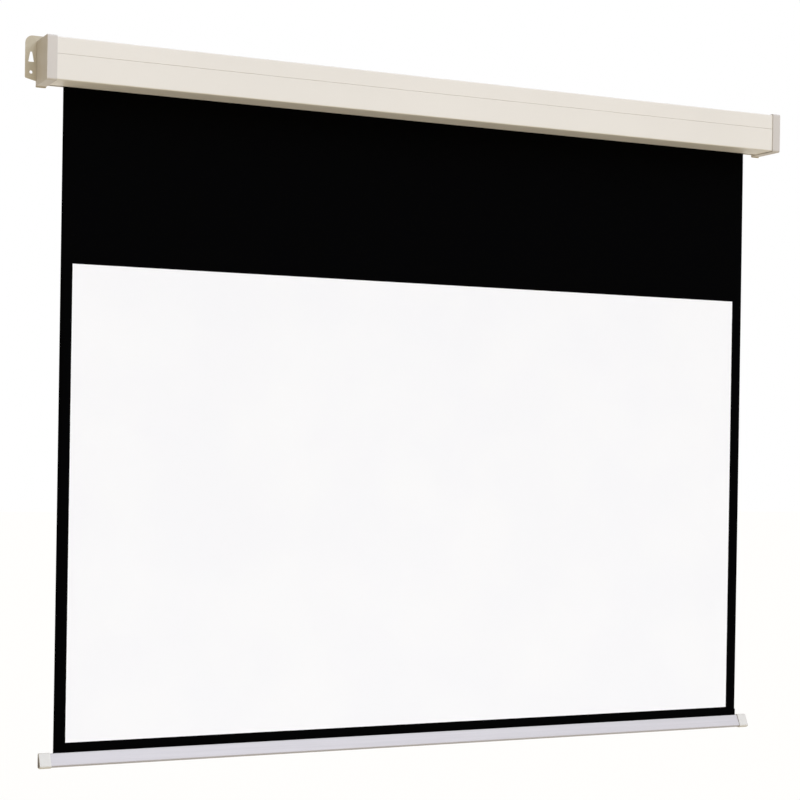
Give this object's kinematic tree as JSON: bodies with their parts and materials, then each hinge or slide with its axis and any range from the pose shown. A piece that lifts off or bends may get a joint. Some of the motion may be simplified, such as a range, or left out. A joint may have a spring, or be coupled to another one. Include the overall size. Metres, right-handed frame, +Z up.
{
  "type": "roll-down projection screen",
  "caption": "Motorised wall-hung projection screen: a cream box casing holds a roller, and a black-bordered white sheet hangs from it on a wedge-shaped aluminium bar.",
  "frame": {"origin": "on the wall, midway between the two keyholes, at the height of their hanging screws", "axes": "+X along the screen to the viewer's right, +Y into the wall, +Z up; the picture faces -Y"},
  "size_m": [2.182, 0.1022, 1.7685],
  "materials": {
    "casing_paint": "satin cream powder coat",
    "cap_plastic": "fine moulded grain",
    "bracket_paint": "satin powder coat",
    "black_fabric": "matt black coated fabric",
    "picture_fabric": "matt white projection surface",
    "bar_aluminium": "satin anodised",
    "bar_cap_plastic": "smooth moulded",
    "zinc_steel": "zinc plated",
    "motor_paint": "dark enamel",
    "dark_plastic": "moulded",
    "yellow_plastic": "moulded",
    "white_plastic": "moulded"
  },
  "bodies": {
    "housing": {"rear_channel": "casing_paint", "front_cover": "casing_paint", "left_end_cap": "cap_plastic", "right_end_cap": "cap_plastic", "left_wall_bracket": "bracket_paint", "right_wall_bracket": "bracket_paint", "left_upper_bracket_screw": "zinc_steel", "left_lower_bracket_screw": "zinc_steel", "right_upper_bracket_screw": "zinc_steel", "right_lower_bracket_screw": "zinc_steel", "motor_plate": "zinc_steel", "motor_head": "dark_plastic", "motor_square_pin": "zinc_steel", "front_motor_head_screw": "zinc_steel", "rear_motor_head_screw": "zinc_steel", "motor_tube": "motor_paint", "motor_nose": "dark_plastic", "cable_grommet": "dark_plastic", "idler_plate": "zinc_steel", "idler_bush": "white_plastic"},
    "upper_limit": {"upper_limit_screw": "yellow_plastic"},
    "lower_limit": {"lower_limit_screw": "white_plastic"},
    "roller": {"roller_tube": "bar_aluminium", "fabric_key_strip": "white_plastic", "wound_fabric": "black_fabric", "idler_plug": "dark_plastic", "idler_plug_screw": "zinc_steel", "idler_pin": "zinc_steel", "idler_clip": "zinc_steel", "limit_crown": "dark_plastic", "motor_shaft": "zinc_steel", "drive_wheel": "dark_plastic", "drive_wheel_clip": "zinc_steel"},
    "screen": {"screen_fabric": "black_fabric", "picture_surface": "picture_fabric", "hem_rod": "white_plastic", "bottom_bar": "bar_aluminium", "weight_rod": "zinc_steel", "left_bar_cap": "bar_cap_plastic", "right_bar_cap": "bar_cap_plastic"}
  },
  "joints": [
    {"name": "screen_rise", "type": "slide", "parent": "housing", "child": "screen", "axis": [0, 0, 1], "range_m": [0, 1.609], "deforming": ["screen_fabric", "picture_surface"]},
    {"name": "roller_turn", "type": "hinge", "parent": "housing", "child": "roller", "pos_m": [0, -0.0388, -0.0275], "axis": [1, 0, 0], "range_deg": [0, 3450]},
    {"name": "upper_limit_turn", "type": "hinge", "parent": "housing", "child": "upper_limit", "pos_m": [1.0421, -0.0388, -0.013], "axis": [1, 0, 0], "range_deg": [-1080, 1080]},
    {"name": "lower_limit_turn", "type": "hinge", "parent": "housing", "child": "lower_limit", "pos_m": [1.0421, -0.0388, -0.042], "axis": [1, 0, 0], "range_deg": [-1080, 1080]}
  ],
  "couplings": [
    {"joint": "roller_turn", "follows": "screen_rise", "rad_per_m": 37.3}
  ]
}
